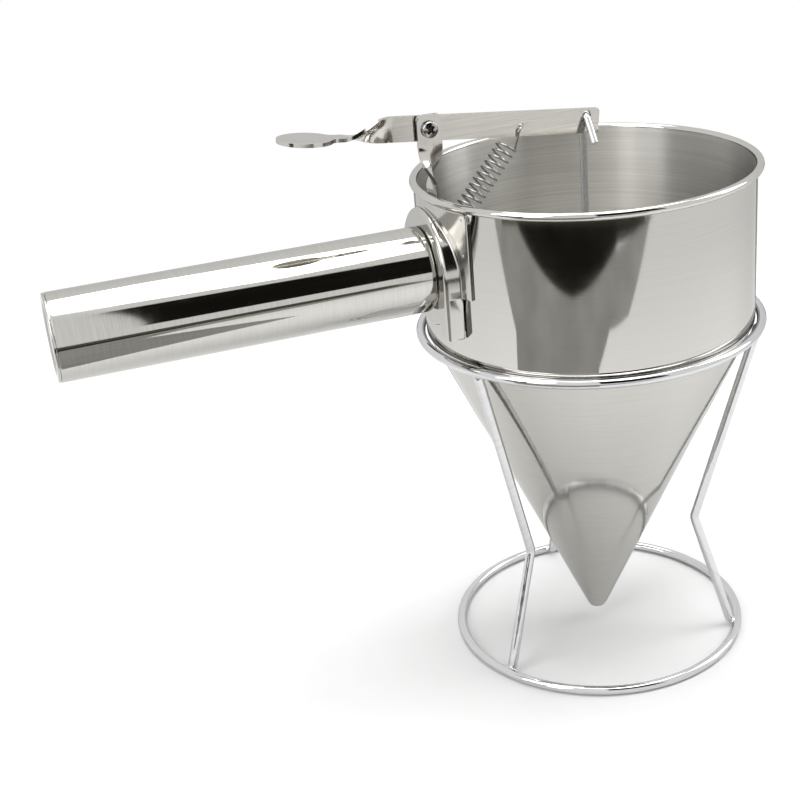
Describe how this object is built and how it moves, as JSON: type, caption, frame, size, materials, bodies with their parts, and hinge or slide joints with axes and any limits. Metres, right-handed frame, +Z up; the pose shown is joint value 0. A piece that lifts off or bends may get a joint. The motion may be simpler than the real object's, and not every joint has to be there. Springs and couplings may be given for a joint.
{
  "type": "pancake batter dispenser",
  "caption": "Steel funnel for pouring batter, with a sprung thumb lever that lifts a plug from its tip, a hook-on tube handle and a wire stand.",
  "frame": {"origin": "on the table, on the axis of the stand", "axes": "+Z up along the funnel's axis, -X along the handle and the thumb lever"},
  "size_m": [0.2972, 0.1482, 0.2486],
  "materials": {
    "polished_steel": "mirror polished outside and brushed in circles inside",
    "chromed_wire": "bright chrome over drawn wire",
    "plain_steel": "plain turned steel",
    "spring_wire": "drawn spring wire"
  },
  "bodies": {
    "stand": {"stand_top_ring": "chromed_wire", "stand_base_ring": "chromed_wire", "stand_leg_left": "chromed_wire", "stand_leg_right": "chromed_wire", "stand_leg_back": "chromed_wire"},
    "funnel": {"cup_wall": "polished_steel", "funnel_cone": "polished_steel", "outlet_nozzle": "plain_steel", "handle_bracket": "polished_steel", "lever_post": "polished_steel", "pivot_screw": "plain_steel", "washer_front": "plain_steel", "washer_back": "plain_steel", "pivot_nut": "plain_steel", "spring_eye": "plain_steel", "return_spring": "spring_wire"},
    "lever": {"thumb_lever": "polished_steel"},
    "valve": {"plug_rod": "chromed_wire", "valve_plug": "plain_steel"},
    "handle": {"handle_flange": "polished_steel", "handle_tube": "polished_steel", "handle_end_cap": "polished_steel"}
  },
  "joints": [
    {"name": "funnel_lift", "type": "slide", "parent": "stand", "child": "funnel", "axis": [0, 0, 1], "range_m": [0, 0.24]},
    {"name": "lever_pivot", "type": "hinge", "parent": "funnel", "child": "lever", "pos_m": [-0.0676, -0.00265, 0.242], "axis": [0, -1, 0], "range_deg": [0, 12], "stiffness_Nm_per_rad": 0.9, "springref_deg": -14.32, "deforming": ["return_spring"]},
    {"name": "rod_hang", "type": "hinge", "parent": "lever", "child": "valve", "pos_m": [0, -0.00265, 0.23681], "axis": [0, -1, 0], "range_deg": [-12, 0]},
    {"name": "handle_slide", "type": "slide", "parent": "funnel", "child": "handle", "axis": [0, 0, 1], "range_m": [-0.009, 0]}
  ],
  "couplings": [
    {"joint": "rod_hang", "follows": "lever_pivot", "ratio": -1}
  ]
}
